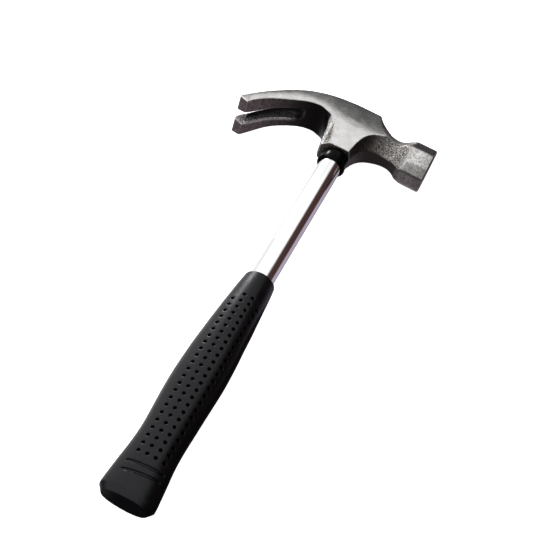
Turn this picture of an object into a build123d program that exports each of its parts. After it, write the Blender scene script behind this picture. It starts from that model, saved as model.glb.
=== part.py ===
from build123d import *
import math
import os

# Claw hammer lying on its side. Millimetres.
# +X points to the striking face, -X to the claws, +Y runs along the handle to the
# head, +Z is square to the cheek. The origin is the centre of the butt face.
# Heights are measured along Y from a datum BUTT_DROP above the butt face, and every
# part is lifted by BUTT_DROP when it is written.

os.makedirs("parts", exist_ok=True)

# ------------------------------------------------------- shared dimensions
BUTT_DROP = 1.0           # the butt face lies this far below the datum
FIT = 0.04                # assembly clearance per side
SEAT_GAP = 0.02           # clearance where a face sits on the plug's flange

BOSS_Y = 278.7            # underside of the eye boss
TOP_Y = 320.6             # top of the cheek

TUBE_R = 7.55
TUBE_WALL = 1.5
BORE_R = TUBE_R - TUBE_WALL
TUBE_Y0 = 16.0            # lower end of the tube, inside the grip
FLARE_Y = 307.0           # the tube starts to open out here
TUBE_Y1 = 319.6
FLARE_R = 8.45            # outer radius at the flared end

SPIGOT_R = 8.95           # the collar's spigot, inside the eye
SPIGOT_Y1 = 288.0

PLUG_FLANGE = 2.0         # the plug's flange, below the tube's foot


# ----------------------------------------------------------------- helpers
def interpolate(table, x):
    """Linear interpolation in (x, value) rows, held constant past the ends."""
    if x <= table[0][0]:
        return table[0][1]
    for (x_low, low), (x_high, high) in zip(table, table[1:]):
        if x <= x_high:
            return low + (high - low) * (x - x_low) / (x_high - x_low)
    return table[-1][1]


def turned(profile):
    """Solid of revolution about the handle's axis from (radius, y) points."""
    wire = Wire.make_polygon([(radius, y, 0) for radius, y in profile], close=True)
    return revolve(Face(wire), Axis.Y, 360)


def curved_sketch(*runs):
    """Closed sketch through lists of points: a list of several points is a spline,
    a list of one is a corner, and straight lines join each list to the next."""
    with BuildSketch() as sketch:
        with BuildLine():
            for run, following in zip(runs, runs[1:] + runs[:1]):
                if len(run) > 1:
                    Spline(*run)
                Line(run[-1], following[0])
        make_face()
    return sketch.sketch


def save(shape, name):
    """Write the shape's largest solid, lifted so the butt face is at y = 0."""
    solid = max(shape.solids(), key=lambda piece: piece.volume)
    export_step(Pos(0, BUTT_DROP, 0) * solid, "parts/" + name + ".step")


# ------------------------------------------------- head: claws and cheek
# (x, y) upper outline of the claws and cheek, claw tip to cheek
TOP = [(-71.6, 275.9), (-70.3, 277.6), (-67.1, 281.2), (-63.8, 285.1), (-60.5, 289.3),
       (-57.2, 293.2), (-50.5, 300.6), (-43.9, 306.4), (-36.5, 311.1), (-25.7, 315.9),
       (-12.9, 318.95), (-2.0, 320.35), (4.0, TOP_Y)]
TIP = (-71.0, 274.5)      # breaks the tips' corner, between TOP and UNDER
# (x, y) under outline, from the foot of the boss round to the claw tip
UNDER = [(-12.0, BOSS_Y), (-12.9, 281.0), (-13.5, 284.0), (-13.8, 287.0), (-14.0, 290.0),
         (-14.8, 294.0), (-15.9, 297.0), (-17.6, 299.5), (-20.6, 301.8), (-24.6, 302.8),
         (-29.9, 302.1), (-33.8, 300.7), (-37.9, 298.5), (-41.2, 296.5), (-44.8, 294.2),
         (-48.3, 291.7), (-53.4, 287.3), (-58.2, 282.1), (-62.6, 276.9), (-65.3, 273.5)]
SLAB_X = 5.5              # the cheek runs this far inside the neck's flare
HEAD_HALF = 20.0          # half thickness of the head's blanks, before grinding

# (y, distance from the handle's axis) of the bevel down each back corner of the
# boss, between the ground cheek and the back wall
BEVEL = [(BOSS_Y - 6, 12.0), (BOSS_Y, 13.1), (285.5, 14.6), (291.8, 16.2), (297.1, 18.1),
         (300.2, 20.6), (301.8, 23.4), (302.7, 27.5)]
BEVEL_TOP = 340.0         # the bevel's cutter reaches this height
BEVEL_BACK = -60.0        # and this far across to the other side of the axis
BEVEL_HALF = 80.0         # half length of the cutter
CLAW_X = -21.0            # the bevel has run out here

# Ground sides: slightly crowned across the cheek, flaring towards the claw tips.
# (x, half thickness, height of the crown's crest, crown radius)
SIDES = [(-76.0, 17.4, 270.0, 60.0), (-70.0, 16.85, 275.0, 60.0), (-65.0, 16.6, 279.5, 60.0),
         (-61.0, 16.0, 284.0, 60.0), (-57.0, 15.1, 288.5, 60.0), (-52.5, 14.15, 293.0, 60.0),
         (-47.5, 13.45, 297.5, 65.0), (-42.0, 13.05, 301.5, 70.0), (-35.0, 12.85, 305.0, 80.0),
         (-26.0, 12.9, 307.0, 95.0), (-12.0, 13.15, 303.5, 130.0), (2.0, 13.3, 299.5, 150.0),
         (14.0, 13.25, 299.5, 150.0), (28.0, 13.1, 301.0, 150.0)]
SIDE_REACH = 40.0         # greatest half height of a side section
SIDE_REACH_RATIO = 0.6    # and its limit as a share of the crown radius


def corner_bevel(side):
    """Region kept inside the back corner bevel on the +Z (1) or -Z (-1) side."""
    sketch = curved_sketch(BEVEL, [(BEVEL_TOP, BEVEL[-1][1])], [(BEVEL_TOP, BEVEL_BACK)],
                           [(BEVEL[0][0], BEVEL_BACK)])
    diagonal = math.sqrt(0.5)
    plane = Plane(origin=(0, 0, 0), x_dir=(0, 1, 0), z_dir=(side * diagonal, 0, diagonal))
    return extrude(plane * sketch, BEVEL_HALF, both=True)


def side_face(x, half, crest, radius):
    """Section of the ground head at x: an arc each side, straight above and below."""
    reach = min(SIDE_REACH, SIDE_REACH_RATIO * radius)
    edge_z = half - (radius - math.sqrt(radius * radius - reach * reach))
    high, low = crest + reach, crest - reach
    edges = [ThreePointArc((x, high, edge_z), (x, crest, half), (x, low, edge_z)),
             Line((x, low, edge_z), (x, low, -edge_z)),
             ThreePointArc((x, low, -edge_z), (x, crest, -half), (x, high, -edge_z)),
             Line((x, high, -edge_z), (x, high, edge_z))]
    return Face(Wire([edge.edge() for edge in edges]))


# ------------------------------------------------- head: neck and poll
# The neck is six-sided, with a ridge at mid-height each side and narrow flats over
# and under. Each flank is a profile across the neck carried straight along it.
AXIS_Y = 304.0            # height of the neck's axis
FLANK = (0.6, 0.8)        # outward direction of a flank: up or down, sideways
# (x, height above the neck's axis) of the flat on top
NECK_TOP = [(9.7, 17.6), (13.2, 16.9), (15.9, 15.8), (18.8, 14.3), (22.1, 12.45),
            (25.0, 11.1), (28.0, 10.3), (30.5, 10.1), (33.0, 10.4), (36.0, 11.7),
            (38.5, 13.5), (40.5, 15.3), (42.5, 17.3), (44.5, 19.5)]
# (x, depth below the neck's axis) of the flat underneath
NECK_LOW = [(6.2, 46.0), (7.1, 37.0), (8.3, 29.3), (9.8, 22.6), (12.6, 16.2), (15.8, 12.9),
            (19.0, 11.25), (22.4, 10.4), (25.0, 10.1), (28.0, 10.0), (30.5, 10.1),
            (33.0, 10.5), (36.0, 11.8), (38.5, 13.5), (40.5, 15.2), (42.5, 17.2), (44.5, 19.5)]
# (x, distance from the neck's axis) of the upper and lower flanks
FLANK_TOP = [(8.7, 25.0), (11.0, 22.0), (13.25, 19.3), (16.0, 16.0), (19.0, 13.75),
             (21.0, 12.55), (22.6, 11.75), (25.0, 10.75), (28.0, 9.9), (30.5, 9.6),
             (33.0, 9.8), (36.0, 10.7), (38.5, 12.0), (40.5, 13.5), (42.5, 15.3), (44.5, 17.4)]
FLANK_LOW = [(5.0, 32.0), (6.0, 27.6), (7.2, 23.6), (9.0, 19.1), (11.5, 15.6), (13.6, 13.9),
             (16.3, 12.4), (19.2, 11.3), (22.4, 10.4), (25.0, 9.75), (28.0, 9.3), (30.5, 9.2),
             (33.0, 9.5), (36.0, 10.5), (38.5, 11.9), (40.5, 13.4), (42.5, 15.2), (44.5, 17.4)]
BLANK_X0, BLANK_X1 = -30.0, 65.0    # ends of the neck's blank
FLANK_BACK = 60.0         # a flank's region reaches this far past the axis
FLANK_HALF = 70.0         # half length of a flank's region
TRIM_X0, TRIM_X1 = 4.0, 30.0        # the neck is trimmed to the cheek's heights here
TRIM_WIDTH = 60.0
SPLIT_X = 27.0            # the neck is narrower than the ground sides from here on

POLL_Y = 304.3            # height of the poll's axis
POLL_R = 15.1
POLL_FLATS = 10
POLL_APOTHEM = 14.65      # distance of the ground flats from the poll's axis
POLL_X = 29.0             # back of the poll's cylinder, inside the neck
FACE_X = 57.3             # striking face
FACE_BEVEL = 0.85
EDGE_TOL = 0.01           # band each side of a plane when picking its edges


def flank(rows, up, side):
    """Region inside one flank: up is 1 or -1 along Y, side is 1 or -1 along Z."""
    sketch = curved_sketch(rows, [(BLANK_X1, rows[-1][1])], [(BLANK_X1, -FLANK_BACK)],
                           [(BLANK_X0, -FLANK_BACK)], [(BLANK_X0, rows[0][1])])
    normal_y, normal_z = up * FLANK[0], side * FLANK[1]
    plane = Plane(origin=(0, AXIS_Y, 0), x_dir=(1, 0, 0), z_dir=(0, -normal_z, normal_y))
    return extrude(plane * sketch, FLANK_HALF, both=True)


def poll_cylinder():
    """Striking poll, ground to shallow flats, one of them facing straight down."""
    with BuildSketch(Plane.YZ.offset(POLL_X)) as section:
        with Locations((POLL_Y, 0)):
            Circle(POLL_R)
            RegularPolygon(POLL_APOTHEM, POLL_FLATS, major_radius=False,
                           rotation=180 / POLL_FLATS, mode=Mode.INTERSECT)
    poll = extrude(section.sketch, FACE_X - POLL_X)
    rim = poll.edges().filter_by_position(Axis.X, FACE_X - EDGE_TOL, FACE_X + EDGE_TOL)
    return chamfer(rim, FACE_BEVEL)


def neck_and_poll():
    top = [(x, AXIS_Y + rise) for x, rise in NECK_TOP]
    low = [(x, AXIS_Y - depth) for x, depth in reversed(NECK_LOW)]
    sketch = curved_sketch([(BLANK_X0, top[0][1])], top, [(BLANK_X1, top[-1][1])],
                           [(BLANK_X1, low[0][1])], low, [(BLANK_X0, low[-1][1])])
    neck = extrude(sketch, HEAD_HALF, both=True)
    for side in (1, -1):
        neck = neck & flank(FLANK_TOP, 1, side)
        neck = neck & flank(FLANK_LOW, -1, side)
    # the neck swells into the poll; behind it, it stops at the cheek's top and boss
    trim = Pos((TRIM_X0 + TRIM_X1) / 2, (BOSS_Y + TOP_Y) / 2, 0) * Box(
        TRIM_X1 - TRIM_X0, TOP_Y - BOSS_Y, TRIM_WIDTH)
    return neck & (trim + poll_cylinder())


# ------------------------------------------------- head: nail slot and eye
# Tapered V between the claws, wide on the hollow side.
# ((x, y) on top, (x, y) underneath, half width on top, half width underneath)
SLOT = [((-78.5, 268.0), (-70.9, 266.4), 5.2, 7.4), ((-72.3, 275.3), (-66.0, 272.7), 4.1, 6.3),
        ((-70.3, 277.6), (-64.4, 274.8), 3.0, 5.2), ((-66.9, 281.4), (-61.7, 278.0), 2.75, 4.75),
        ((-61.6, 287.9), (-57.0, 283.4), 2.75, 4.7), ((-55.5, 295.1), (-51.5, 289.1), 2.75, 4.75),
        ((-48.8, 302.2), (-45.5, 293.7), 2.75, 4.9), ((-43.2, 306.9), (-40.5, 296.9), 2.6, 5.0),
        ((-39.6, 309.4), (-37.0, 299.0), 2.2, 5.05), ((-37.2, 310.7), (-34.7, 300.2), 1.6, 4.7),
        ((-35.6, 311.5), (-33.2, 300.9), 0.9, 3.8), ((-34.5, 312.0), (-32.1, 301.3), 0.25, 2.2)]
SLOT_OVERRUN = 2.5        # the slot's cutter passes each surface by this much
SLOT_MIN = 0.05           # least half width of the cutter

EYE_UNDERCUT = 5.0        # the eye's cutter starts this far below the boss
EYE_OVERRUN = 2.0         # and ends this far above the tube
EYE_EXTRA_FLARE = 0.14    # extra radius at the cutter's top


def slot_face(top, low, half_top, half_low):
    """Section of the slot's cutter, carried past both surfaces along its taper."""
    (top_x, top_y), (low_x, low_y) = top, low
    run, rise = top_x - low_x, top_y - low_y
    share = SLOT_OVERRUN / math.hypot(run, rise)
    widen = (half_top - half_low) * share
    x0, y0, half0 = top_x + run * share, top_y + rise * share, max(half_top + widen, SLOT_MIN)
    x1, y1, half1 = low_x - run * share, low_y - rise * share, half_low - widen
    corners = [(x0, y0, half0), (x1, y1, half1), (x1, y1, -half1), (x0, y0, -half0)]
    return Face(Wire.make_polygon(corners, close=True))


def eye_cutter():
    """Bore for the tube, opened out at the top, counterbored for the collar."""
    bottom, top = BOSS_Y - EYE_UNDERCUT, TUBE_Y1 + EYE_OVERRUN
    return turned([(0, bottom), (SPIGOT_R + FIT, bottom), (SPIGOT_R + FIT, SPIGOT_Y1 + FIT),
                   (TUBE_R + FIT, SPIGOT_Y1 + FIT), (TUBE_R + FIT, FLARE_Y),
                   (FLARE_R + FIT + EYE_EXTRA_FLARE, top), (0, top)])


def x_slice(start, end):
    """Block round the whole head between two x positions."""
    return Pos((start + end) / 2, 300, 0) * Box(end - start, 80, 60)


def hammer_head():
    outline = curved_sketch(TOP, [(SLAB_X, TOP_Y)], [(SLAB_X, BOSS_Y)], UNDER, [TIP])
    slab = extrude(outline, HEAD_HALF, both=True)
    neck = neck_and_poll()
    sides = loft([side_face(*row) for row in SIDES])
    slab = slab & sides
    claws = slab & x_slice(CLAW_X - 80, CLAW_X)
    cheek = slab & x_slice(CLAW_X, CLAW_X + 80)
    for side in (1, -1):
        cheek = cheek & corner_bevel(side)
    flare = (neck & x_slice(SPLIT_X - 40, SPLIT_X)) & sides
    front = neck & x_slice(SPLIT_X, SPLIT_X + 40)
    head = claws + cheek + flare + front
    head = head - loft([slot_face(*row) for row in SLOT])
    return head - eye_cutter()


# ------------------------------------------------------------- shaft tube
def shaft_tube():
    return turned([(BORE_R, TUBE_Y0), (TUBE_R, TUBE_Y0), (TUBE_R, FLARE_Y), (FLARE_R, TUBE_Y1),
                   (FLARE_R - TUBE_WALL, TUBE_Y1), (BORE_R, FLARE_Y)])


# --------------------------------------------- wedge in the tube's mouth
WEDGE_Y0 = 307.4
WEDGE_BEVEL = 0.6         # bevel round the foot
WEDGE_BEVEL_GROWTH = 0.03           # the taper's growth in radius over the bevel
WEDGE_HOLLOW = (2.2, 1.0)           # radius and depth of the cone sunk in the top


def eye_wedge():
    taper = (FLARE_R - TUBE_R) / (TUBE_Y1 - FLARE_Y)
    foot_r = BORE_R + taper * (WEDGE_Y0 - FLARE_Y) - FIT
    hollow_r, hollow_depth = WEDGE_HOLLOW
    return turned([(0, WEDGE_Y0), (foot_r - WEDGE_BEVEL, WEDGE_Y0),
                   (foot_r + WEDGE_BEVEL_GROWTH, WEDGE_Y0 + WEDGE_BEVEL),
                   (FLARE_R - TUBE_WALL - FIT, TUBE_Y1), (hollow_r, TUBE_Y1),
                   (0, TUBE_Y1 - hollow_depth)])


# --------------------------------------------- collar under the eye boss
COLLAR_Y0 = 270.5
COLLAR_R = 9.25
BEAD_R = COLLAR_R + 0.3
# (inset from BEAD_R, height above the foot) of the bead round the collar's foot
BEAD = [(0.45, 0), (0.12, 0.13), (0, 0.45), (0, 1.0), (0.12, 1.3)]
BEAD_TOP = 1.55           # the bead meets the collar this far above the foot
COLLAR_BORE_BEVEL = 0.25
SPIGOT_BEVEL = 0.4


def eye_collar():
    bore_r = TUBE_R + FIT
    return turned([(bore_r, COLLAR_Y0 + COLLAR_BORE_BEVEL),
                   (bore_r + COLLAR_BORE_BEVEL, COLLAR_Y0),
                   *[(BEAD_R - inset, COLLAR_Y0 + rise) for inset, rise in BEAD],
                   (COLLAR_R, COLLAR_Y0 + BEAD_TOP), (COLLAR_R, BOSS_Y - FIT),
                   (SPIGOT_R, BOSS_Y - FIT), (SPIGOT_R, SPIGOT_Y1 - SPIGOT_BEVEL),
                   (SPIGOT_R - SPIGOT_BEVEL, SPIGOT_Y1), (bore_r, SPIGOT_Y1)])


# ------------------------------- hardwood core in the tube's head end
CORE_Y0, CORE_Y1 = 226.0, 303.5
CORE_BEVEL = 0.8


def shaft_core():
    radius = BORE_R - FIT
    return turned([(0, CORE_Y0), (radius - CORE_BEVEL, CORE_Y0), (radius, CORE_Y0 + CORE_BEVEL),
                   (radius, CORE_Y1 - CORE_BEVEL), (radius - CORE_BEVEL, CORE_Y1), (0, CORE_Y1)])


# ------------------------------------------------ plug in the tube's foot
PLUG_LEN = 18.0           # length inside the tube
PLUG_FLANGE_BEVEL = 0.3
PLUG_END_INSET = 1.2      # inset of the upper end from the tube's bore
PLUG_END_TAPER = 1.5      # length of the taper at the upper end


def tube_plug():
    foot, end = TUBE_Y0 - PLUG_FLANGE, TUBE_Y0 + PLUG_LEN
    return turned([(0, foot), (TUBE_R - PLUG_FLANGE_BEVEL, foot),
                   (TUBE_R, foot + PLUG_FLANGE_BEVEL), (TUBE_R, TUBE_Y0 - SEAT_GAP),
                   (BORE_R - FIT, TUBE_Y0 - SEAT_GAP), (BORE_R - FIT, end - PLUG_END_TAPER),
                   (BORE_R - PLUG_END_INSET, end), (0, end)])


# -------------------------------------------------------------------- grip
GRIP_Y1 = 163.0
GRIP_SHOULDER = 1.6       # fillet round the upper end
GRIP_OVERRUN = 5.0        # the tube's bore is cut this far past the upper end
RIM_Y = 2.8               # the butt's bevel starts here
BUTT_INSET = (2.9, 2.6)   # bevel inset across the width and the thickness
# (y, half width to the claw side, half width to the face side, half thickness)
GRIP = [(RIM_Y, 17.45, 15.5, 10.3), (6.0, 17.3, 15.3, 10.55), (12.0, 16.8, 14.75, 10.9),
        (18.0, 16.25, 14.2, 11.15), (24.0, 15.65, 13.6, 11.35), (30.0, 15.05, 13.1, 11.55),
        (36.0, 14.65, 12.9, 11.7), (42.0, 14.5, 12.9, 11.85), (50.0, 14.75, 13.1, 12.1),
        (60.0, 15.3, 13.35, 12.4), (70.0, 15.75, 13.65, 12.65), (78.0, 15.9, 13.9, 12.85),
        (86.0, 15.85, 14.05, 12.95), (94.0, 15.6, 13.9, 12.95), (102.0, 15.3, 13.6, 12.85),
        (110.0, 14.8, 13.1, 12.7), (118.0, 14.2, 12.6, 12.5), (126.0, 13.55, 12.2, 12.2),
        (134.0, 12.9, 11.7, 11.85), (142.0, 12.15, 11.15, 11.35), (150.0, 11.4, 10.65, 10.8),
        (157.0, 10.6, 10.1, 10.25), (GRIP_Y1, 10.05, 9.75, 9.85)]
# (y, squareness of the oval section), where 2 is an ellipse
POWER = [(0, 2.35), (60, 2.25), (130, 2.15), (163, 2.02)]
OVAL_POINTS = 28

DIMPLE_PITCH = 5.11
DIMPLE_Y0 = 142.4         # row nearest the head
DIMPLE_ROWS = 24
DIMPLE_X = (-7.7, -2.55, 2.55, 7.7)
DIMPLE_R = 0.92
DIMPLE_DEPTH = 1.9
DIMPLE_OVERRUN = 1.5      # the cutters stand this far out of the surface

GROOVES = [(17.5, 0.08), (11.9, 0.13)]    # (y at the claw-side end, slope)
GROOVE_W = 1.5
GROOVE_HALF = 10.8
GROOVE_DEPTH = 1.1
GROOVE_REACH = 20.0       # half length of the groove's cutter along Z
GROOVE_STATIONS = (5.0, 8.0, 11.0, 14.0, 17.0, 20.0, 24.0)


def grip_at(y):
    """Half width to the claw side, to the face side, and half thickness at y."""
    return tuple(interpolate([(row[0], row[k]) for row in GRIP], y) for k in (1, 2, 3))


def power_at(y):
    return interpolate(POWER, y)


def oval_face(y, claw_half, face_half, thick_half, power):
    """Squared oval section of the grip at y."""
    points = []
    for i in range(OVAL_POINTS):
        angle = 2 * math.pi * i / OVAL_POINTS
        c, s = math.cos(angle), math.sin(angle)
        width = face_half if c > 0 else claw_half
        x = math.copysign(abs(c) ** (2 / power), c) * width
        z = math.copysign(abs(s) ** (2 / power), s) * thick_half
        points.append((x, y, z))
    return Face(Wire([Spline(*points, periodic=True).edge()]))


def surface_z(x, y):
    claw_half, face_half, thick_half = grip_at(y)
    power = power_at(y)
    width = face_half if x > 0 else claw_half
    return thick_half * max(1 - (abs(x) / width) ** power, 0.0) ** (1 / power)


def dimple_cutters():
    """Round blind holes square to the cheek, in rows along both sides."""
    cutter = Cylinder(DIMPLE_R, DIMPLE_DEPTH + DIMPLE_OVERRUN,
                      align=(Align.CENTER, Align.CENTER, Align.MIN))
    cutters = []
    for i in range(DIMPLE_ROWS):
        y = DIMPLE_Y0 - i * DIMPLE_PITCH
        # the row nearest the head has only the two middle dimples
        for x in DIMPLE_X[1:3] if i == 0 else DIMPLE_X:
            floor_z = surface_z(x, y) - DIMPLE_DEPTH
            cutters.append(Rot(0, 0, 0) * (Pos(x, y, floor_z) * cutter))
            cutters.append(Rot(180, 0, 0) * (Pos(x, -y, floor_z) * cutter))
    return cutters


def groove_cutter(y, slope, inner):
    """Round-ended bar through the grip, less the core that sets the groove's floor."""
    angle = math.degrees(math.atan(slope))
    with BuildSketch(Plane.XY) as bar:
        with Locations(Location((0, y + slope * GROOVE_HALF, 0), (0, 0, angle))):
            SlotOverall(2 * GROOVE_HALF, GROOVE_W)
    return extrude(bar.sketch, GROOVE_REACH, both=True) - inner


def hammer_grip():
    grip = loft([oval_face(*row, power_at(row[0])) for row in GRIP])
    top_edges = grip.edges().filter_by_position(Axis.Y, GRIP_Y1 - EDGE_TOL, GRIP_Y1 + EDGE_TOL)
    grip = fillet(top_edges, GRIP_SHOULDER)
    grip = grip - dimple_cutters()

    # bevelled butt
    rim = GRIP[0]
    width_inset, thick_inset = BUTT_INSET
    butt_face = oval_face(-BUTT_DROP, rim[1] - width_inset, rim[2] - width_inset,
                          rim[3] - thick_inset, power_at(0))
    grip = grip + loft([butt_face, oval_face(*rim, power_at(RIM_Y))], ruled=True)

    # blind bore for the tube and its plug
    floor, mouth = TUBE_Y0 - PLUG_FLANGE - SEAT_GAP, GRIP_Y1 + GRIP_OVERRUN
    bore_r = TUBE_R + FIT
    grip = grip - turned([(0, floor), (bore_r, floor), (bore_r, mouth), (0, mouth)])

    # grooves across each side near the butt, following the surface
    inner = loft([oval_face(y, *[half - GROOVE_DEPTH for half in grip_at(y)], power_at(y))
                  for y in GROOVE_STATIONS])
    for y, slope in GROOVES:
        grip = grip - groove_cutter(y, slope, inner)
    return grip


save(hammer_head(), "hammer_head")
save(shaft_tube(), "shaft_tube")
save(eye_wedge(), "eye_wedge")
save(eye_collar(), "eye_collar")
save(shaft_core(), "shaft_core")
save(tube_plug(), "tube_plug")
save(hammer_grip(), "grip")
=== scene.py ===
import bpy
import bmesh
import math
import numpy as np
from mathutils import Vector, Matrix


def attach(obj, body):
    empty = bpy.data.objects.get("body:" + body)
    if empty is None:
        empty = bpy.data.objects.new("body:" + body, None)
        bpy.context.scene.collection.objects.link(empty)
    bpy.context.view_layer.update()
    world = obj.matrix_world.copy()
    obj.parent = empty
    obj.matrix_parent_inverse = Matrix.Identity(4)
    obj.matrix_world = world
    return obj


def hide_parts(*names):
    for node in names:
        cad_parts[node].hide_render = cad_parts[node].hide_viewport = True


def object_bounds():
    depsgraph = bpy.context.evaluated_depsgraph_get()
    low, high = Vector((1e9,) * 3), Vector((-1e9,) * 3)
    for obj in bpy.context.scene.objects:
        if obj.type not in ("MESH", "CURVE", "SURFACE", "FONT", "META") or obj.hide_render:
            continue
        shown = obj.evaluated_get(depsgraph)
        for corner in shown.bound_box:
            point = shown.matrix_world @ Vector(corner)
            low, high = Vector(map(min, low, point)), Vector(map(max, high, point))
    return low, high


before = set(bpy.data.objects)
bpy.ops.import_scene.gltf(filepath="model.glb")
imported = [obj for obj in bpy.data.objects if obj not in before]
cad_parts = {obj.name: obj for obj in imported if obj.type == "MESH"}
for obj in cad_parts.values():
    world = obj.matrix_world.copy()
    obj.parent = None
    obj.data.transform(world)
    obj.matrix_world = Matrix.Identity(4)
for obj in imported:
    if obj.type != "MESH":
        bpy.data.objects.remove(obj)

CAD_LO, CAD_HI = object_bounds()
MM = 0.001
LIFT = 1.0     # the hammer's heights are counted from a datum this far above the butt face
SCN = bpy.context.scene


# =====================================================================
# noise on arrays of points, seeded by its arguments only
# =====================================================================
def _hash(ix, iy, iz, seed):
    h = (ix.astype(np.int64) * 374761393 + iy.astype(np.int64) * 668265263
         + iz.astype(np.int64) * 2147483647 + np.int64(seed) * 1274126177) & 0xFFFFFFFF
    h = ((h ^ (h >> 13)) * 1274126177) & 0xFFFFFFFF
    h = ((h ^ (h >> 16)) * 2246822519) & 0xFFFFFFFF
    return ((h ^ (h >> 15)) & 0xFFFFFF) / float(0xFFFFFF)


def vnoise(p, cell, seed):
    """Smooth value noise in -1..1 at points p, with the given cell size."""
    q = p / cell
    i = np.floor(q).astype(np.int64)
    f = q - i
    f = f * f * f * (f * (f * 6 - 15) + 10)
    out = 0.0
    for dx in (0, 1):
        wx = f[:, 0] if dx else 1 - f[:, 0]
        for dy in (0, 1):
            wy = f[:, 1] if dy else 1 - f[:, 1]
            for dz in (0, 1):
                wz = f[:, 2] if dz else 1 - f[:, 2]
                out = out + wx * wy * wz * _hash(i[:, 0] + dx, i[:, 1] + dy, i[:, 2] + dz, seed)
    return out * 2 - 1


def fbm(p, cell, octaves, seed, gain=0.5):
    a, s, t = 1.0, 0.0, 0.0
    for k in range(octaves):
        s = s + a * vnoise(p + 17.3 * k, cell / 2 ** k, seed + 31 * k)
        t += a
        a *= gain
    return s / t


def step01(x, a, b):
    """0 below a, 1 above b, smooth between."""
    t = np.clip((x - a) / (b - a), 0, 1)
    return t * t * (3 - 2 * t)


def curve(x, pts):
    return np.interp(x, [q[0] for q in pts], [q[1] for q in pts])


# =====================================================================
# meshes
# =====================================================================
def link(name, me):
    ob = bpy.data.objects.new(name, me)
    SCN.collection.objects.link(ob)
    return ob


def remeshed(node, name, voxel_mm):
    """A dense even-skinned copy of a CAD node, for detail finer than its solid."""
    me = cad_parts[node].data.copy()
    bm = bmesh.new()
    bm.from_mesh(me)
    bmesh.ops.remove_doubles(bm, verts=bm.verts, dist=2e-6)
    bm.to_mesh(me)
    bm.free()
    tmp = link("tmp_" + name, me)
    m = tmp.modifiers.new("v", "REMESH")
    m.mode = "VOXEL"
    m.voxel_size = voxel_mm * MM
    m.adaptivity = 0.0
    dg = bpy.context.evaluated_depsgraph_get()
    new = bpy.data.meshes.new_from_object(tmp.evaluated_get(dg), depsgraph=dg)
    bpy.data.objects.remove(tmp)
    bpy.data.meshes.remove(me)
    new.name = name
    new.materials.clear()
    return link(name, new)


def coords(me):
    a = np.empty(len(me.vertices) * 3, np.float32)
    me.vertices.foreach_get("co", a)
    return a.reshape(-1, 3).astype(float) / MM


def set_coords(me, p):
    me.vertices.foreach_set("co", (p * MM).astype(np.float32).ravel())
    me.update()


def normals(me):
    a = np.empty(len(me.vertices) * 3, np.float32)
    me.vertex_normals.foreach_get("vector", a)
    return a.reshape(-1, 3).astype(float)


def edges_of(me):
    e = np.empty(len(me.edges) * 2, np.int32)
    me.edges.foreach_get("vertices", e)
    return e.reshape(-1, 2)


def relax(p, e, steps, lam=0.5, w=None):
    n = len(p)
    deg = np.bincount(e.ravel(), minlength=n)[:, None]
    for _ in range(steps):
        s = np.zeros_like(p)
        for k in range(3):
            s[:, k] = (np.bincount(e[:, 0], p[e[:, 1], k], n) + np.bincount(e[:, 1], p[e[:, 0], k], n))
        d = s / np.maximum(deg, 1) - p
        p = p + lam * (d if w is None else d * w[:, None])
    return p


def smooth_field(v, e, steps):
    n = len(v)
    deg = np.bincount(e.ravel(), minlength=n)
    for _ in range(steps):
        s = np.bincount(e[:, 0], v[e[:, 1]], n) + np.bincount(e[:, 1], v[e[:, 0]], n)
        v = 0.5 * v + 0.5 * s / np.maximum(deg, 1)
    return v


def attribute(me, name, v):
    a = me.attributes.get(name) or me.attributes.new(name, "FLOAT", "POINT")
    a.data.foreach_set("value", np.asarray(v, np.float32))


def shade_smooth(me):
    me.polygons.foreach_set("use_smooth", np.ones(len(me.polygons), bool))
    me.update()


def rounded(profile, radii, n=5):
    """Closed (r, y) polygon with each corner rounded off by its radius."""
    out = []
    m = len(profile)
    for i, (p, rad) in enumerate(zip(profile, radii)):
        p = np.array(p, float)
        a = np.array(profile[i - 1], float) - p
        b = np.array(profile[(i + 1) % m], float) - p
        la, lb = np.linalg.norm(a), np.linalg.norm(b)
        if rad <= 0:
            out.append(tuple(p))
            continue
        k = min(rad, la * 0.45, lb * 0.45)
        a, b = p + a / la * k, p + b / lb * k
        for j in range(n + 1):
            t = j / n
            out.append(tuple((1 - t) ** 2 * a + 2 * t * (1 - t) * p + t * t * b))
    return out


def turned(name, profile, seg=144, cuts=0.0):
    """Closed solid turned about the handle's axis from a closed (r, y) outline; long runs are cut every `cuts` mm."""
    pts = []
    m = len(profile)
    for i in range(m):
        a, b = np.array(profile[i], float), np.array(profile[(i + 1) % m], float)
        pts.append(tuple(a))
        if cuts and a[0] > 0.01 and b[0] > 0.01:
            k = int(np.linalg.norm(b - a) / cuts)
            for j in range(1, k + 1):
                t = j / (k + 1)
                pts.append(tuple(a + (b - a) * t))
    bm = bmesh.new()
    rings = []
    for r, y in pts:
        if r < 1e-6:
            rings.append([bm.verts.new((0, (y + LIFT) * MM, 0))])
        else:
            rings.append([bm.verts.new((r * MM * math.cos(2 * math.pi * j / seg), (y + LIFT) * MM,
                                        r * MM * math.sin(2 * math.pi * j / seg))) for j in range(seg)])
    k = len(rings)
    for i in range(k):
        a, b = rings[i], rings[(i + 1) % k]
        if len(a) == 1 and len(b) == 1:
            continue
        for j in range(seg):
            j2 = (j + 1) % seg
            if len(a) == 1:
                bm.faces.new((a[0], b[j2], b[j]))
            elif len(b) == 1:
                bm.faces.new((a[j], a[j2], b[0]))
            else:
                bm.faces.new((a[j], a[j2], b[j2], b[j]))
    bmesh.ops.recalc_face_normals(bm, faces=bm.faces)
    me = bpy.data.meshes.new(name)
    bm.to_mesh(me)
    bm.free()
    shade_smooth(me)
    return link(name, me)


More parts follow.
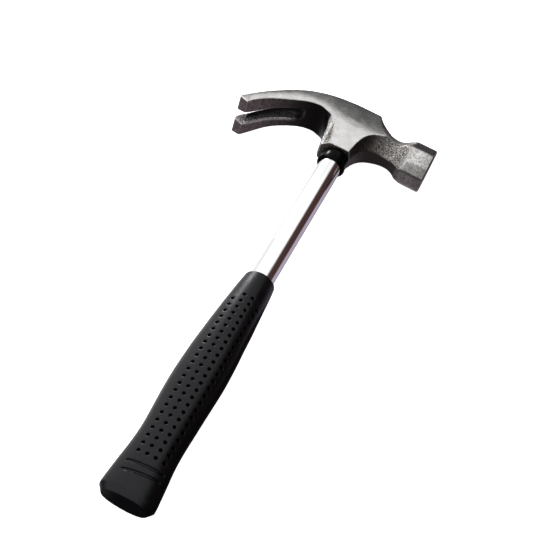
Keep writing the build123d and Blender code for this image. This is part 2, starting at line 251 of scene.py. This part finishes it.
# =====================================================================
# node graphs
# =====================================================================
class G:
    def __init__(self, name):
        self.m = bpy.data.materials.new(name)
        self.m.use_nodes = True
        self.t = self.m.node_tree
        self.t.nodes.clear()
        self.out = self.t.nodes.new("ShaderNodeOutputMaterial")
        self.b = self.t.nodes.new("ShaderNodeBsdfPrincipled")
        self.t.links.new(self.b.outputs[0], self.out.inputs[0])

    def n(self, kind, **kw):
        x = self.t.nodes.new("ShaderNode" + kind)
        for k, v in kw.items():
            setattr(x, k, v)
        return x

    def put(self, socket, v):
        if hasattr(v, "links") or isinstance(v, bpy.types.NodeSocket):
            self.t.links.new(v, socket)
        elif v is not None:
            if isinstance(v, (tuple, list)) and len(v) == 3 and socket.type == "RGBA":
                v = (*v, 1.0)
            socket.default_value = v

    def pos(self, scale=(1, 1, 1)):
        """Object-space position in millimetres, stretched by scale."""
        c = self.n("TexCoord")
        m = self.n("Mapping")
        self.t.links.new(c.outputs["Object"], m.inputs[0])
        m.inputs["Scale"].default_value = tuple(1000 * s for s in scale)
        return m.outputs[0]

    def noise(self, vec, cell, detail=2.0, rough=0.5, distort=0.0):
        x = self.n("TexNoise")
        self.put(x.inputs["Vector"], vec)
        x.inputs["Scale"].default_value = 1.0 / cell
        x.inputs["Detail"].default_value = detail
        x.inputs["Roughness"].default_value = rough
        x.inputs["Distortion"].default_value = distort
        return x.outputs[0]

    def voronoi(self, vec, cell, feature="F1", rand=1.0):
        x = self.n("TexVoronoi", feature=feature)
        self.put(x.inputs["Vector"], vec)
        x.inputs["Scale"].default_value = 1.0 / cell
        x.inputs["Randomness"].default_value = rand
        return x.outputs["Distance"]

    def op(self, kind, a, b=0.0, c=None):
        x = self.n("Math", operation=kind)
        self.put(x.inputs[0], a)
        self.put(x.inputs[1], b)
        if c is not None:
            self.put(x.inputs[2], c)
        return x.outputs[0]

    def range(self, v, a, b, lo=0.0, hi=1.0, smooth=True):
        x = self.n("MapRange", interpolation_type="SMOOTHSTEP" if smooth else "LINEAR")
        self.put(x.inputs["Value"], v)
        x.inputs["From Min"].default_value = a
        x.inputs["From Max"].default_value = b
        x.inputs["To Min"].default_value = lo
        x.inputs["To Max"].default_value = hi
        return x.outputs[0]

    def mix(self, f, a, b):
        x = self.n("Mix", data_type="RGBA")
        self.put(x.inputs[0], f)
        self.put(x.inputs[6], a)
        self.put(x.inputs[7], b)
        return x.outputs[2]

    def fmix(self, f, a, b):
        x = self.n("Mix", data_type="FLOAT")
        self.put(x.inputs[0], f)
        self.put(x.inputs[2], a)
        self.put(x.inputs[3], b)
        return x.outputs[0]

    def attr(self, name):
        return self.n("Attribute", attribute_name=name).outputs["Fac"]

    def xyz(self, vec):
        x = self.n("SeparateXYZ")
        self.put(x.inputs[0], vec)
        return x.outputs

    def bump(self, h, dist_mm, strength=1.0, normal=None):
        x = self.n("Bump")
        self.put(x.inputs["Height"], h)
        x.inputs["Distance"].default_value = dist_mm * MM
        self.put(x.inputs["Strength"], strength)
        if normal is not None:
            self.put(x.inputs["Normal"], normal)
        return x.outputs[0]

    def set(self, **kw):
        names = {"color": "Base Color", "rough": "Roughness", "metal": "Metallic", "normal": "Normal",
                 "spec": "Specular IOR Level", "aniso": "Anisotropic", "rot": "Anisotropic Rotation",
                 "tangent": "Tangent", "coat": "Coat Weight", "coat_rough": "Coat Roughness", "ior": "IOR",
                 "sheen": "Sheen Weight", "sheen_rough": "Sheen Roughness", "tint": "Specular Tint"}
        for k, v in kw.items():
            self.put(self.b.inputs[names[k]], v)
        return self.m


# =====================================================================
# hammer head
# =====================================================================
head = remeshed("hammer_head", "hammer_head_forged", 0.33)
me = head.data
E = edges_of(me)
P = relax(coords(me), E, 3, 0.5)
set_coords(me, P)
N = normals(me)
x, y, z = P.T
y = y - LIFT
nx, ny, nz = N.T
wob = fbm(P, 6.0, 3, 5)

# broken edges: the outer lower edges of the claws and the rims of the tips are hand-eased
claw = step01(-x, 26.0, 34.0)
under_edge = claw * step01(-ny, 0.12, 0.35) * step01(np.abs(z), 9.5, 11.0)
blend = step01(x, 32.0, 35.0) * step01(-x, -46.5, -44.0) * step01(np.abs(nz), 0.45, 0.7)
w = np.clip(under_edge + 0.30 * claw, 0, 1)
P = relax(P, E, 7, 0.5, w)
P = relax(P, E, 40, 0.5, smooth_field(blend, E, 4))
set_coords(me, P)
N = normals(me)
nx, ny, nz = N.T

# the cheeks are ground with a slight crown along the handle
crown = step01(x, -44.0, -24.0) * step01(-x, -22.0, -10.0)
P[:, 2] *= 1 - crown * 0.00165 * np.clip(y - 302.5, -22, 22) ** 2 / 13.2
set_coords(me, P)
N = normals(me)
nx, ny, nz = N.T

# edges painted bright as highlights: where the skin bulges out from its neighbours
bulge = np.einsum("ij,ij->i", P - relax(P, E, 3, 0.5), N)
edge = step01(bulge, 0.018, 0.065) * (1 - 0.8 * step01(x, 31.0, 34.0) * step01(-x, -55.0, -47.0))
edge = np.maximum(edge, step01(bulge, 0.008, 0.035) * step01(-x, 62.5, 64.0))
edge = edge * (1 - step01(x, -46.0, -40.0) * step01(-ny, 0.15, 0.4) * step01(-x, 12.0, 14.0))
edge = smooth_field(edge, E, 1)

# ground and polished: cheeks and claw sides, the poll, the top, the face
side = step01(np.abs(nz), 0.90, 0.965) * step01(-x, -23.5, -21.0)
side = side * np.maximum(step01(np.abs(z) - 13.2 + (y - 300.0) ** 2 / 280.0, -0.75, -0.45), step01(-x, -6.0, -3.0))
poll = step01(x + 0.9 * wob, 38.6, 43.0)
top = step01(ny, 0.55, 0.75) * step01(-x, -14.0, -12.0)
under = step01(-x, 14.5, 16.0) * step01(-ny, 0.0, 0.2) * step01(1 - np.abs(nz), 0.15, 0.4) * step01(x, -66.2, -64.8)
tip = step01(-x, 64.9, 65.7) * step01(-ny, -0.2, 0.2)
polish = np.clip(np.maximum.reduce([side, poll, top, 0.45 * under, 0.75 * tip]), 0, 1)
slot_wall = step01(np.abs(nz), 0.5, 0.8) * step01(7.4 - np.abs(z), 0, 0.4) * step01(-x, 30.0, 31.0)
polish = polish * (1 - slot_wall)
polish = smooth_field(polish, E, 4)
forged = 1 - polish
boss = step01(-x, 10.5, 12.0) * step01(x, -24.0, -19.0) * step01(-y, -303.5, -301.5)
# the bevel strip beside the boss, painted bright and speckled as the light it faces
strip = smooth_field(boss * step01(np.abs(nz), 0.25, 0.45) * step01(-np.abs(nz), -0.995, -0.97), E, 3)
back = smooth_field(step01(-x, 12.2, 13.2) * step01(x, -30.0, -24.0) * step01(-np.abs(nz), -0.40, -0.25)
                    * step01(-np.minimum(nx, ny), 0.25, 0.5) * step01(-y, -305.0, -303.5), E, 2)
lip = smooth_field(step01(-x, 36.0, 42.0) * step01(x, -67.0, -65.0) * step01(-z, 3.3, 4.2) * step01(z, -7.6, -5.6)
                   * step01(-ny, 0.10, 0.35), E, 1)
neck_low = smooth_field(step01(x, 6.5, 8.5) * step01(-x, -41.0, -37.0) * step01(-ny, 0.62, 0.8), E, 3)

# forging skin: shallow pits and scale, in the metal itself
big = fbm(P, 2.6, 3, 11)
pit = np.minimum(fbm(P, 1.05, 2, 23) + 0.10, 0)
rough_zone = forged * (1 - 0.85 * neck_low) * (1 - 0.6 * under)
d = rough_zone * (0.07 * big + 0.26 * pit)
d += (1 - forged) * 0.006 * fbm(P, 5.0, 2, 41)
d += poll * 0.014 * fbm(P, 1.3, 3, 47)
d += lip * 0.30 * fbm(P, 0.85, 2, 53)
P = P + N * d[:, None]
set_coords(me, P)
attribute(me, "forged", forged)
attribute(me, "poll", poll)
attribute(me, "slotwall", slot_wall)
attribute(me, "under", under)
attribute(me, "edge", edge)
attribute(me, "strip", strip)
attribute(me, "back", back)
attribute(me, "lip", lip)
attribute(me, "necklow", neck_low)
attribute(me, "tip", tip)
shade_smooth(me)

g = G("forged_steel")
pm = g.pos()
px, py, pz = g.xyz(pm)
F = g.attr("forged")
fine = g.noise(pm, 0.42, 3, 0.65)
med = g.noise(pm, 1.5, 4, 0.65)
blot = g.noise(pm, 7.0, 3, 0.55)
scr = g.noise(g.pos((0.35, 3.0, 3.0)), 0.9, 4, 0.7)
polc = g.mix(g.range(blot, 0.35, 0.65), (0.52, 0.512, 0.505), (0.61, 0.60, 0.595))
polc = g.mix(g.range(scr, 0.45, 0.75), polc, (0.47, 0.46, 0.455))
polc = g.mix(g.op("MULTIPLY", g.attr("poll"), g.range(med, 0.42, 0.66, 0.0, 0.9)), polc, (0.24, 0.23, 0.225))
forc = g.mix(g.range(med, 0.36, 0.62), (0.045, 0.041, 0.038), (0.185, 0.172, 0.162))
# painted glints: bright specks on the forged skin, fewer towards the eye boss
forc = g.mix(g.op("MULTIPLY", g.range(fine, 0.50, 0.64), g.range(px, 6.0, 36.0, 0.35, 1.0)), forc, (0.90, 0.88, 0.85))
# painted highlight on the bevel strip beside the boss
forc = g.mix(g.op("MULTIPLY", g.attr("strip"), 0.85), forc,
             g.mix(g.range(fine, 0.40, 0.60), (0.27, 0.265, 0.262), (0.88, 0.875, 0.87)))
# painted shade: the neck darkened towards the eye boss
forc = g.mix(g.op("MULTIPLY", g.range(px, 27.0, 11.0, 0.0, 0.62), g.range(px, 5.5, 6.5)), forc, (0.030, 0.027, 0.025))
# painted shade: the lower flat of the neck is darker; its smoother skin is the real finish
forc = g.mix(g.attr("necklow"), forc, (0.085, 0.078, 0.074))
# painted shade: the poll darkened towards the face
polc = g.mix(g.range(px, 48.5, 56.0, 0.0, 0.42), polc, (0.16, 0.152, 0.150))
col = g.mix(F, polc, forc)
# oxidised hollow of the claws, with painted shade that makes it darkest towards the handle
shade_towards_handle = g.range(px, -62.0, -27.0)
oxide_and_shade = g.mix(g.range(med, 0.38, 0.62), (0.15, 0.125, 0.120), (0.31, 0.275, 0.265))
oxide_and_shade = g.mix(shade_towards_handle, oxide_and_shade, (0.018, 0.016, 0.016))
oxide_and_shade = g.mix(g.op("MULTIPLY", g.range(fine, 0.56, 0.72), 0.35), oxide_and_shade, (0.33, 0.31, 0.31))
col = g.mix(g.attr("under"), col, oxide_and_shade)
# painted shade: the walls of the nail slot painted near black, speckled lighter
col = g.mix(g.attr("slotwall"), col, g.mix(g.range(fine, 0.58, 0.74), (0.012, 0.011, 0.011), (0.20, 0.19, 0.19)))
# painted shadow: the back wall of the boss painted near black
col = g.mix(g.attr("back"), col, (0.018, 0.017, 0.017))
# painted glints: white specks along the lips of the nail slot
col = g.mix(g.op("MULTIPLY", g.attr("lip"), g.range(fine, 0.44, 0.54)), col, (1.0, 0.98, 0.97))
col = g.mix(g.attr("tip"), col, g.mix(g.range(med, 0.4, 0.65), (0.28, 0.25, 0.255), (0.46, 0.42, 0.43)))
# painted highlight: convex edges lightened, except on the boss's back wall
edge_highlight = g.op("MULTIPLY", g.attr("edge"), g.range(fine, 0.30, 0.55, 0.35, 1.0))
edge_highlight = g.op("MULTIPLY", edge_highlight, g.op("SUBTRACT", 1.0, g.op("MULTIPLY", g.attr("back"), 0.9)))
col = g.mix(edge_highlight, col, (0.80, 0.785, 0.775))
rp = g.op("ADD", g.range(scr, 0.3, 0.75, 0.11, 0.18), g.range(blot, 0.3, 0.7, 0.0, 0.06))
rp = g.op("ADD", rp, g.op("MULTIPLY", g.attr("poll"), g.range(med, 0.35, 0.65, 0.0, 0.11)))
rf = g.range(fine, 0.3, 0.7, 0.58, 0.34)
rf = g.fmix(g.attr("necklow"), rf, 0.42)
rf = g.fmix(g.attr("lip"), rf, 0.26)
b1 = g.bump(scr, 0.010, 1.0)
b2 = g.bump(g.op("ADD", fine, g.op("MULTIPLY", med, 0.8)), 0.16, g.op("MAXIMUM", F, g.op("MULTIPLY", g.attr("poll"), 0.10)), b1)
g.set(color=col, metal=1.0, rough=g.fmix(F, rp, rf), normal=b2)
me.materials.append(g.m)
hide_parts("hammer_head")
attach(head, "root")

# =====================================================================
# chromed tube
# =====================================================================
R, W = 7.55, 1.5
tube_pts = rounded([(R - W, 16.0), (R, 16.0), (R, 307.0), (8.45, 319.6), (8.45 - W, 319.6), (R - W, 307.0)],
                   [0.3, 0.4, 2.0, 0.4, 0.3, 2.0])
tube = turned("chromed_tube", tube_pts, 192, 2.5)
g = G("chromed_tube")
pm = g.pos()
dust = g.noise(pm, 6.0, 4, 0.6)
fine = g.noise(pm, 0.6, 3, 0.6)
hair = g.noise(g.pos((6.0, 0.05, 6.0)), 1.2, 2, 0.5)
c = g.mix(g.range(dust, 0.45, 0.7), (0.86, 0.855, 0.865), (0.83, 0.825, 0.835))
# painted shade: the chrome darkened towards the collar
c = g.mix(g.range(g.op("SUBTRACT", g.xyz(pm)[1], 270.0 + LIFT), -46.0, -4.0, 0.0, 0.35), c, (0.50, 0.52, 0.49))
g.set(color=c, metal=1.0, rough=g.op("ADD", g.range(dust, 0.4, 0.75, 0.105, 0.13), g.range(hair, 0.55, 0.8, 0.0, 0.03)),
      normal=g.bump(hair, 0.0015, 1.0, g.bump(fine, 0.0012, 1.0)))
tube.data.materials.append(g.m)
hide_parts("shaft_tube")
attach(tube, "root")

# =====================================================================
# wedge plug in the tube's mouth
# =====================================================================
wedge = turned("eye_wedge_ground", rounded(
    [(0, 307.4), (5.44, 307.4), (6.06, 308.0), (6.91, 319.6), (5.2, 319.55), (4.9, 319.35), (2.2, 319.35), (0, 318.6)],
    [0, 0.3, 0.2, 0.35, 0.15, 0.15, 0.4, 0]), 96)
g = G("wedge_steel")
pm = g.pos()
px, py, pz = g.xyz(pm)
rr = g.op("SQRT", g.op("ADD", g.op("MULTIPLY", px, px), g.op("MULTIPLY", pz, pz)))
ring = g.op("SINE", g.op("MULTIPLY", rr, 22.0))
blot = g.noise(pm, 1.6, 4, 0.6)
g.set(color=g.mix(g.range(blot, 0.35, 0.7), (0.42, 0.41, 0.40), (0.24, 0.22, 0.20)), metal=1.0,
      rough=g.range(blot, 0.3, 0.7, 0.32, 0.5), normal=g.bump(g.op("ADD", ring, blot), 0.02, 0.6))
wedge.data.materials.append(g.m)
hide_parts("eye_wedge")
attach(wedge, "root")

# =====================================================================
# black collar
# =====================================================================
RC = 9.25
collar_pts = rounded(
    [(7.59, 270.75), (7.84, 270.5), (9.3, 270.5), (9.55, 270.9), (9.55, 271.55), (RC, 271.95),
     (RC, 278.62), (8.95, 278.62), (8.95, 287.9), (8.6, 288.0), (7.59, 288.0)],
    [0.1, 0.1, 0.25, 0.3, 0.3, 0.25, 0.3, 0.1, 0.2, 0.1, 0.1])
collar = turned("eye_collar_gloss", collar_pts, 160, 0.8)
g = G("collar_plastic")
pm = g.pos()
n1 = g.noise(pm, 3.5, 4, 0.55)
n2 = g.noise(pm, 0.35, 2, 0.5)
g.set(color=g.mix(g.range(n1, 0.4, 0.7), (0.0022, 0.0022, 0.0024), (0.0050, 0.0048, 0.0048)), metal=0.0,
      rough=g.range(n1, 0.35, 0.7, 0.09, 0.15), spec=0.07,
      normal=g.bump(n2, 0.004, 0.5, g.bump(n1, 0.03, 0.3)))
collar.data.materials.append(g.m)
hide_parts("eye_collar")
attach(collar, "root")

# =====================================================================
# rubber grip
# =====================================================================
grip = remeshed("grip", "grip_moulded", 0.38)
me = grip.data
E = edges_of(me)
P = relax(coords(me), E, 2, 0.5)
set_coords(me, P)
N = normals(me)
x, y, z = P.T
y = y - LIFT
outside = step01(np.hypot(x, z), 8.3, 8.9) * step01(y, 1.0, 2.5)
# parting line of the mould, along both narrow edges
seam = np.exp(-(z / 0.28) ** 2) * outside * step01(y, 3.0, 5.0) * step01(-y, -161.0, -158.0)
d = 0.13 * seam + 0.018 * outside * fbm(P, 2.0, 3, 71) + 0.03 * outside * fbm(P, 14.0, 2, 77)
P = P + N * d[:, None]
set_coords(me, P)
attribute(me, "seam", seam)
attribute(me, "outside", outside)
# floor and wall of each moulded dimple, painted near black and without shine as shade
row = np.clip(np.round((142.4 - y) / 5.11), 0, 23)
dimple_shade = np.zeros(len(y))
for xc in (-7.7, -2.55, 2.55, 7.7):
    r2 = ((x - xc) ** 2 + (y - (142.4 - 5.11 * row)) ** 2) / 1.02 ** 2
    dimple_shade = np.maximum(dimple_shade, np.exp(-r2 ** 4) * (1 if abs(xc) < 5 else (row > 0)))
attribute(me, "dimple_shade", dimple_shade * outside)
shade_smooth(me)

g = G("grip_rubber")
pm = g.pos()
n1 = g.noise(pm, 14.0, 4, 0.6)
n2 = g.noise(pm, 1.1, 4, 0.65)
n3 = g.noise(pm, 0.30, 2, 0.5)
v = g.voronoi(pm, 0.55)
c = g.mix(g.range(n1, 0.35, 0.7), (0.0022, 0.0022, 0.0026), (0.0042, 0.0040, 0.0048))
c = g.mix(g.range(n2, 0.55, 0.8), c, (0.0075, 0.0073, 0.0085))
# painted shade: the dimples darkened and their shine taken away
c = g.mix(g.attr("dimple_shade"), c, (0.0004, 0.0004, 0.0004))
rough = g.op("ADD", g.range(n1, 0.3, 0.7, 0.27, 0.33), g.range(n2, 0.4, 0.75, 0.0, 0.07))
g.set(color=c, metal=0.0, rough=rough, spec=g.fmix(g.attr("dimple_shade"), 0.42, 0.02), tint=(0.93, 0.94, 1.0, 1.0),
      normal=g.bump(n3, 0.02, 0.5, g.bump(g.op("ADD", n2, g.op("MULTIPLY", v, 0.5)), 0.035, 0.6)))
me.materials.append(g.m)
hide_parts("grip")
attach(grip, "root")

# =====================================================================
# pieces inside the hammer keep their solids
# =====================================================================
g = G("core_wood")
pm = g.pos((1.0, 0.06, 1.0))
px, py, pz = g.xyz(g.pos())
grain = g.noise(pm, 0.8, 5, 0.65, 0.4)
g.set(color=g.mix(g.range(grain, 0.3, 0.7), (0.42, 0.27, 0.13), (0.66, 0.49, 0.29)), metal=0.0,
      rough=g.range(grain, 0.3, 0.7, 0.55, 0.75), normal=g.bump(grain, 0.08, 0.7))
CORE = g.m
g = G("plug_plastic")
pm = g.pos()
n1 = g.noise(pm, 2.5, 4, 0.6)
g.set(color=g.mix(g.range(n1, 0.35, 0.7), (0.030, 0.030, 0.031), (0.055, 0.054, 0.053)), metal=0.0,
      rough=g.range(n1, 0.3, 0.7, 0.5, 0.65), normal=g.bump(n1, 0.03, 0.6))
PLUG = g.m
for node, m in (("shaft_core", CORE), ("tube_plug", PLUG)):
    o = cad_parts[node]
    o.data.materials.clear()
    o.data.materials.append(m)

# =====================================================================
# studio: pale floor, soft surround, camera
# =====================================================================
FLOOR_Z = CAD_LO.z - 0.0002
bm = bmesh.new()
for px_, py_ in ((-3, -3), (3, -3), (3, 3), (-3, 3)):
    bm.verts.new((px_, py_ + 0.2, FLOOR_Z))
bm.faces.new(bm.verts)
fm = bpy.data.meshes.new("floor")
bm.to_mesh(fm)
bm.free()
floor = link("studio_floor", fm)
g = G("floor_paper")
lp = g.n("LightPath")
dif = g.n("BsdfDiffuse")
n1 = g.noise(g.pos(), 60.0, 3, 0.5)
g.put(dif.inputs["Color"], g.mix(n1, (0.86, 0.86, 0.865), (0.88, 0.88, 0.88)))
em = g.n("Emission")
em.inputs["Color"].default_value = (1, 1, 1, 1)
em.inputs["Strength"].default_value = 0.86
add = g.n("AddShader")
g.t.links.new(dif.outputs[0], add.inputs[0])
g.t.links.new(em.outputs[0], add.inputs[1])
# what the polished metal sees of the table: white to its left, a lavender grey below,
# dark where the table ends on the right
geo = g.n("NewGeometry")
ix, iy, iz = g.xyz(geo.outputs["Incoming"])
leftward = g.op("MULTIPLY", g.range(ix, 0.02, 0.22), g.range(iy, 0.10, -0.12))
far_right = g.op("MULTIPLY", g.range(ix, -0.05, -0.30), g.range(iz, 0.14, 0.05))
gc = g.mix(leftward, (0.30, 0.270, 0.288), (1.0, 1.0, 1.0))
right = g.op("MULTIPLY", g.range(ix, -0.25, -0.50), g.range(iy, 0.1, -0.2))
gc = g.mix(right, gc, (0.52, 0.46, 0.56))
gc = g.mix(far_right, gc, (0.11, 0.065, 0.06))
fx, fy, fz = g.xyz(g.pos())
# painted shadow: the floor darkened near the grip, as the metal sees it
near_grip = g.op("MULTIPLY", g.range(fy, 172.0, 160.0), g.range(fx, -22.0, -8.0))
gc = g.mix(near_grip, gc, (0.035, 0.030, 0.036))
gl = g.n("Emission")
g.put(gl.inputs["Color"], gc)
gl.inputs["Strength"].default_value = 1.0
ms = g.n("MixShader")
g.t.links.new(lp.outputs["Is Camera Ray"], ms.inputs[0])
g.t.links.new(gl.outputs[0], ms.inputs[1])
g.t.links.new(add.outputs[0], ms.inputs[2])
g.t.links.new(ms.outputs[0], g.out.inputs[0])
fm.materials.append(g.m)

# surround: a bright tent with one dark side, behind the head and to the right
w = bpy.data.worlds.new("studio_tent")
SCN.world = w
w.use_nodes = True
t = w.node_tree
t.nodes.clear()


class WG(G):
    def __init__(self, tree):
        self.t = tree


wg = WG(t)
out = t.nodes.new("ShaderNodeOutputWorld")
bg = t.nodes.new("ShaderNodeBackground")
t.links.new(bg.outputs[0], out.inputs[0])
tc = t.nodes.new("ShaderNodeTexCoord")
dx, dy, dz = wg.xyz(tc.outputs["Generated"])
az = wg.op("ARCTAN2", dy, dx)                    # 0 towards +X, pi/2 towards +Y
el = wg.op("ARCSINE", dz)
rad_ = math.radians
# the dark side reaches up to this elevation, higher towards +Y
lim = wg.range(az, rad_(60), rad_(97), rad_(41), rad_(45.0), False)
low = wg.range(wg.op("SUBTRACT", el, lim), rad_(-5), rad_(3), 1.0, 0.0)
win = wg.op("MULTIPLY", wg.range(az, rad_(-40), rad_(-12)), wg.range(az, rad_(99), rad_(116), 1.0, 0.0))
dark = wg.op("MULTIPLY", low, win)
# softbox overhead, falling away towards +X and down to the camera's side
fall = wg.range(dx, 0.20, 0.62, 1.0, 0.04)
front = wg.range(dy, -0.985, -0.78, 0.16, 1.0)
box = wg.op("MULTIPLY", wg.op("MULTIPLY", fall, front), 1.35)
lit = wg.n("CombineXYZ")
for k in range(3):
    wg.put(lit.inputs[k], box)
grey = wg.range(el, rad_(8), rad_(42), 0.11, 0.27)
backdrop = wg.n("CombineXYZ")
for k in range(3):
    wg.put(backdrop.inputs[k], grey)
backdrop = wg.mix(wg.range(az, rad_(62), rad_(86)), (0.100, 0.058, 0.053), backdrop.outputs[0])
colr = wg.mix(dark, lit.outputs[0], backdrop)
t.links.new(colr, bg.inputs[0])
bg.inputs[1].default_value = 1.0


def area(name, loc, aim, size, power, color=(1, 1, 1), size_y=None):
    l = bpy.data.lights.new(name, "AREA")
    l.energy = power
    l.color = color
    l.size = size
    if size_y:
        l.shape = "RECTANGLE"
        l.size_y = size_y
    o = bpy.data.objects.new(name, l)
    SCN.collection.objects.link(o)
    o.location = loc
    o.rotation_mode = "QUATERNION"
    o.rotation_quaternion = (Vector(aim) - Vector(loc)).to_track_quat("-Z", "Y")
    return o


area("left_strip", (-0.360, 0.612, 0.100), (0.0, 0.276, 0.009), 0.06, 1.5, size_y=0.30)

# a small white card beside the tube, out of the camera's sight
card = area("bounce_card", (-0.0140, 0.2430, 0.0085), (0.0, 0.2430, 0.0045), 0.080, 0.0052, size_y=0.017)
card.visible_camera = False
card.visible_diffuse = False

cam = bpy.data.cameras.new("camera")
cam.sensor_width = 36.0
cam.sensor_fit = "HORIZONTAL"
cam.lens = 78.20
cam.clip_start, cam.clip_end = 0.01, 20
camera = bpy.data.objects.new("camera", cam)
SCN.collection.objects.link(camera)
rows = ((0.8862524715, 0.4144945501, 0.2067627260),
        (-0.4546249026, 0.6928674571, 0.5596882032),
        (0.0887285458, -0.5900245374, 0.8024950407))
m = Matrix.Identity(4)
for i in range(3):
    for j in range(3):
        m[j][i] = rows[i][j]
m[0][3], m[1][3], m[2][3] = 0.0688811, -0.2479264, 0.5732295
camera.matrix_world = m
SCN.camera = camera

SCN.view_settings.view_transform = "Standard"
SCN.view_settings.look = "None"
SCN.view_settings.exposure = 0.0
SCN.view_settings.gamma = 0.86
